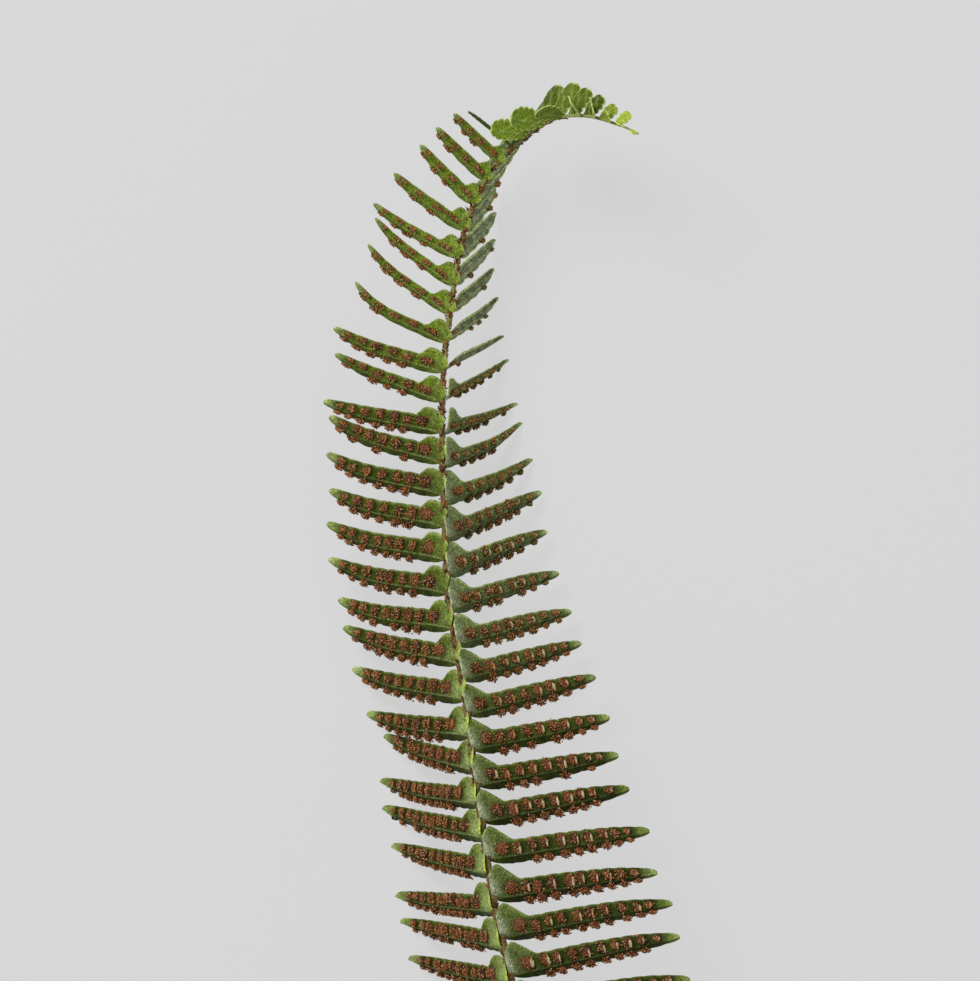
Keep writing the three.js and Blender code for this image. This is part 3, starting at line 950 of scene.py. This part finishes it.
def ball():
    """Points and faces of the ball that every spore case is copied from."""
    bpy.ops.object.select_all(action="DESELECT")
    bpy.ops.mesh.primitive_uv_sphere_add(segments=4, ring_count=2, radius=1.0)
    model = bpy.context.object
    points = np.array([vertex.co[:] for vertex in model.data.vertices])
    model.data.calc_loop_triangles()
    faces = np.array([list(face.vertices) for face in model.data.loop_triangles])
    bpy.data.objects.remove(model, do_unlink=True)
    return points, faces


DOME_SIDES = 9
DOME_RINGS = ((1.0, -0.1), (0.9, 0.3), (0.55, 0.75))


def dome():
    """Points and faces of the mound under a heap's spore cases, on flat unit ground."""
    turns = np.arange(DOME_SIDES) * 2 * math.pi / DOME_SIDES
    rings = [np.c_[np.cos(turns) * wide, np.sin(turns) * wide, np.full(DOME_SIDES, rise)]
             for wide, rise in DOME_RINGS]
    points = np.vstack([*rings, [[0, 0, 1], [0, 0, -0.1]]])
    top, bottom = len(points) - 2, len(points) - 1
    faces = []
    for k in range(DOME_SIDES):
        after = (k + 1) % DOME_SIDES
        for low in range(0, DOME_SIDES * 2, DOME_SIDES):
            high = low + DOME_SIDES
            faces += [(low + k, low + after, high + after), (low + k, high + after, high + k)]
        faces += [(DOME_SIDES * 2 + k, DOME_SIDES * 2 + after, top), (after, k, bottom)]
    return points, np.array(faces)


def veil():
    """Points and faces of a veil, a thick curved strip, on flat unit ground."""
    grid_u, grid_v = np.meshgrid(np.linspace(-1, 1, 6), (-1, 0, 1), indexing="ij")
    slim = np.sqrt(np.maximum(1 - grid_u ** 2 * 0.85, 0.1))
    rise = 1 - 0.55 * grid_u ** 2 - 0.3 * grid_v ** 2
    top = np.stack([grid_v * slim, grid_u, rise], -1).reshape(-1, 3)
    low = top - [0, 0, 0.6]
    size = len(top)
    index = np.arange(size).reshape(grid_u.shape)
    corners = [index[:-1, :-1], index[:-1, 1:], index[1:, 1:], index[1:, :-1]]
    quads = np.stack(corners, -1).reshape(-1, 4)
    ring = around(index)
    ahead = np.roll(ring, -1)
    rim = np.stack([ring, ring + size, ahead + size, ahead], -1)
    block = np.vstack([quads, quads[:, ::-1] + size, rim])
    return np.vstack([top, low]), np.vstack([block[:, [0, 1, 2]], block[:, [0, 2, 3]]])


VEIL_HEIGHT = 0.42
# Where a row's heaps are split in two pieces, and where they start to get smaller
ZONE_SPLIT = 165
SMALLER_LEFT = 245
SMALLER_RIGHT = 225
SMALLER_RUN = 45
EARLESS_SIZE = (0.85, 0.8)


def heap_parts(leaflet, u, q, reach_along, reach_across, draws, models, veiled, dull):
    """One spore heap: a mound covered with spore cases, and the veil that they push aside."""
    paints = colours()
    ball_model, dome_model, veil_model = models
    here, normal, along, across = leaflet.seat(u, q)
    mirrored = np.dot(np.cross(along, across), normal) < 0

    def placed(model, a, b, rise, size, tint):
        points, faces = model
        spread = points * size + (a, b, rise)
        spot = here + spread @ np.array([along, across, normal])
        faces = faces[:, ::-1] if mirrored else faces
        return spot, faces, np.broadcast_to(tint, spot.shape)

    height = 0.5 * min(1.0, reach_across)
    # Dark mound under the spore cases: its dark brown in the gaps between them is partly the old cases'
    # colour, partly painted shade
    base = mix(paints.dark, paints.rust, 0.35 * draws.rand())
    parts = [placed(dome_model, 0, 0, 0, (reach_along * 0.9, reach_across * 0.9, height), base)]
    toward = leaflet.side
    count = sizes().grains
    turned = draws.rand() * 6.3
    for k in range(count):
        ring = min(1.12, math.sqrt((k + 0.4) / count) * (1 + 0.14 * draws.normal()))
        turn = turned + k * 2.4 + draws.rand() * 0.9
        a, b = ring * math.cos(turn), ring * math.sin(turn)
        if veiled and a * toward > 0.25 and b < 0.3 and draws.rand() < 0.6:
            continue
        a = a + toward * (0.5 * b * b - 0.2 if leaflet.side < 0 else -0.3 * b)
        radius = sizes().grain * (0.6 + 0.75 * draws.rand())
        rise = height * max(0, 1 - ring ** 2) + 0.04 + 0.22 * draws.rand()
        tint = mix(paints.dark, paints.rust, 0.15 + 1.2 * draws.rand())
        # Some spore cases lightened towards cream: painted highlight specks
        tint = mix(tint, paints.cream, 0.6 * draws.rand() if draws.rand() < 0.3 else 0)
        tint = mix(tint, paints.fresh, dull * draws.rand())
        size = radius * (0.8 + 0.5 * draws.rand(3))
        parts.append(placed(ball_model, a * reach_along, b * reach_across, rise, size, tint))
    if veiled:
        if leaflet.side > 0:
            veil_tint = mix(paints.cream, paints.pale, 0.7 * draws.rand() + 0.5 * dull)
            veil_tint = mix(veil_tint, paints.rust, 0.9 * draws.rand() ** 2)
        else:
            veil_tint = mix(paints.bark, paints.pale, 0.25 * draws.rand())
            veil_tint = mix(veil_tint, paints.rust, 0.5)
        size = (reach_along * (0.16 + 0.12 * draws.rand()), 0.6 * reach_across, VEIL_HEIGHT)
        parts.append(placed(veil_model, 0.5 * toward * reach_along, -0.2 * reach_across, height * 0.6,
                            size, veil_tint))
    return parts


class FERN_OT_heaps(bpy.types.Operator):
    """Builds the two rows of spore heaps on every ripe leaflet"""

    bl_idname = "fern.heaps"
    bl_label = "Spore heaps"

    def execute(self, context):
        material = heap_paint()
        models = (ball(), dome(), veil())
        draws = np.random.RandomState(2024)
        groups = {}
        for leaflet in leaflets():
            if leaflet.barren:
                continue
            side = "left" if leaflet.side < 0 else "right"
            zone = "low" if leaflet.s < ZONE_SPLIT else "high"
            parts = groups.setdefault(f"heaps_{side}_{zone}", [])
            step = (leaflet.heap_to - leaflet.heap_from) / (leaflet.heaps - 1) * leaflet.length
            starts = SMALLER_LEFT if leaflet.side < 0 else SMALLER_RIGHT
            young = float(clamp((leaflet.s - starts) / SMALLER_RUN))
            wide = step * (0.38 - 0.11 * young)
            tall = leaflet.width * (0.45 - 0.2 * young)
            veil_share = 0.85 if leaflet.side > 0 and leaflet.s < EARLESS_FROM else 0.12 * (1 - young)
            dull = 0.75 * leaflet.high_up if leaflet.side > 0 else 0.15
            if leaflet.earless:
                wide *= EARLESS_SIZE[0]
                tall *= EARLESS_SIZE[1]
            for i in range(leaflet.heaps):
                u = leaflet.heap_place(i) + 0.008 * draws.normal()
                fade = (1 - 0.3 * max(0, (u - 0.7) / 0.2)) * (0.85 + 0.3 * draws.rand())
                high, low = (float(edge(np.array(u))) for edge in (leaflet.high, leaflet.low))
                high = min(high, leaflet.width)
                if i == 0:
                    parts += heap_parts(leaflet, u - 0.01, high * 0.6, wide * 1.5, tall * 1.02, draws,
                                        models, draws.rand() < 0.3, 0.4 * dull)
                    continue
                if not leaflet.earless:
                    q = high * (0.48 + 0.05 * draws.normal())
                    parts += heap_parts(leaflet, u, q, wide * fade, tall * fade * high / leaflet.width,
                                        draws, models, draws.rand() < veil_share, dull)
                if draws.rand() < 0.06 + (0.4 if leaflet.earless else 0.1 * young):
                    continue
                q = -low * (0.88 if leaflet.earless else 0.76)
                parts += heap_parts(leaflet, u + 0.012, q, wide * fade, (0.62 - 0.25 * young) * low * fade,
                                    draws, models, draws.rand() < veil_share * 0.15, dull)
        for name, parts in groups.items():
            finish_piece(build_mesh(name, *gather(parts)), material)
        return {"FINISHED"}


PHOTO_WIDTH = 980
PHOTO_HEIGHT = 981
MM_PER_PIXEL = 0.194
STEM_HEIGHT = 18.0
# The origin lies below the photo, at this column and row.
ORIGIN_COLUMN = 580
ORIGIN_ROW = 1700
VIEW_X = (PHOTO_WIDTH / 2 - ORIGIN_COLUMN) * MM_PER_PIXEL * MM
VIEW_Y = (ORIGIN_ROW - PHOTO_HEIGHT / 2) * MM_PER_PIXEL * MM
# Sizes of the table, the lamp and the camera in metres, but the sensor in millimetres
TABLE_SIZE = 6
TABLE_CENTRE = (0, 0.16, 0)
LAMP_SIZE = 0.45
LAMP_PLACE = (VIEW_X - 0.5, VIEW_Y + 0.62, 0.92)
LAMP_AIM = (VIEW_X, VIEW_Y, 0.02)
SENSOR = 36


def turned_to(aim):
    """Turns that point a lamp's own -Z along a direction."""
    flat = math.hypot(aim[0], aim[1])
    return math.atan2(flat, -aim[2]), 0.0, math.atan2(aim[1], aim[0]) - math.pi / 2


class FERN_OT_stage(bpy.types.Operator):
    """Sets the pale table, the soft light and the camera above the frond"""

    bl_idname = "fern.stage"
    bl_label = "Table, light and camera"

    def execute(self, context):
        scene = context.scene
        setup = scene.fern_stage
        bpy.ops.object.select_all(action="DESELECT")
        bpy.ops.mesh.primitive_plane_add(size=TABLE_SIZE, location=TABLE_CENTRE)
        table = context.object
        table.name = "table_top"
        table.data.transform(table.matrix_world)
        table.matrix_world.identity()
        table.data.materials.append(floor_paint())

        world = bpy.data.worlds.new("even_light")
        world.use_nodes = True
        even = world.node_tree.nodes["Background"].inputs
        even["Color"].default_value = (1, 1, 1, 1)
        even["Strength"].default_value = setup.sky
        scene.world = world

        lamp = bpy.data.lights.new("window", "AREA")
        lamp.shape = "SQUARE"
        lamp.size = LAMP_SIZE
        lamp.energy = setup.key
        light = bpy.data.objects.new("window", lamp)
        light.location = LAMP_PLACE
        light.rotation_euler = turned_to(np.subtract(LAMP_AIM, LAMP_PLACE))
        scene.collection.objects.link(light)

        lens = bpy.data.cameras.new("view")
        lens.type = "PERSP"
        lens.sensor_fit = "HORIZONTAL"
        lens.sensor_width = SENSOR
        lens.lens = SENSOR * setup.distance / (PHOTO_WIDTH * MM_PER_PIXEL * MM)
        lens.clip_start = 0.01
        lens.clip_end = 10
        camera = bpy.data.objects.new("view", lens)
        camera.location = (VIEW_X, VIEW_Y, setup.distance + STEM_HEIGHT * MM)
        scene.collection.objects.link(camera)
        scene.camera = camera
        scene.view_settings.view_transform = "Standard"
        return {"FINISHED"}


class FERN_PT_panel(bpy.types.Panel):
    """Lists the pieces of the frond and their sizes"""

    bl_label = "Fern frond"
    bl_idname = "FERN_PT_panel"
    bl_space_type = "VIEW_3D"
    bl_region_type = "UI"
    bl_category = "Fern"

    def draw(self, context):
        for operator in PIECES:
            self.layout.operator(operator.bl_idname)
        for group in (context.scene.fern_sizes, context.scene.fern_colours, context.scene.fern_stage):
            box = self.layout.box()
            for name in group.__annotations__:
                box.prop(group, name)


PIECES = (FERN_OT_stage, FERN_OT_stem, FERN_OT_scales, FERN_OT_leaflets, FERN_OT_heaps)
GROUPS = (FernSizes, FernColours, FernStage)


def register():
    for kind in (*GROUPS, *PIECES, FERN_PT_panel):
        bpy.utils.register_class(kind)
    bpy.types.Scene.fern_sizes = PointerProperty(type=FernSizes)
    bpy.types.Scene.fern_colours = PointerProperty(type=FernColours)
    bpy.types.Scene.fern_stage = PointerProperty(type=FernStage)


def unregister():
    for name in ("fern_sizes", "fern_colours", "fern_stage"):
        delattr(bpy.types.Scene, name)
    for kind in (FERN_PT_panel, *PIECES[::-1], *GROUPS[::-1]):
        bpy.utils.unregister_class(kind)


def main():
    register()
    bpy.ops.fern.stage()
    bpy.ops.fern.stem()
    bpy.ops.fern.scales()
    bpy.ops.fern.leaflets()
    bpy.ops.fern.heaps()


if __name__ == "__main__":
    main()
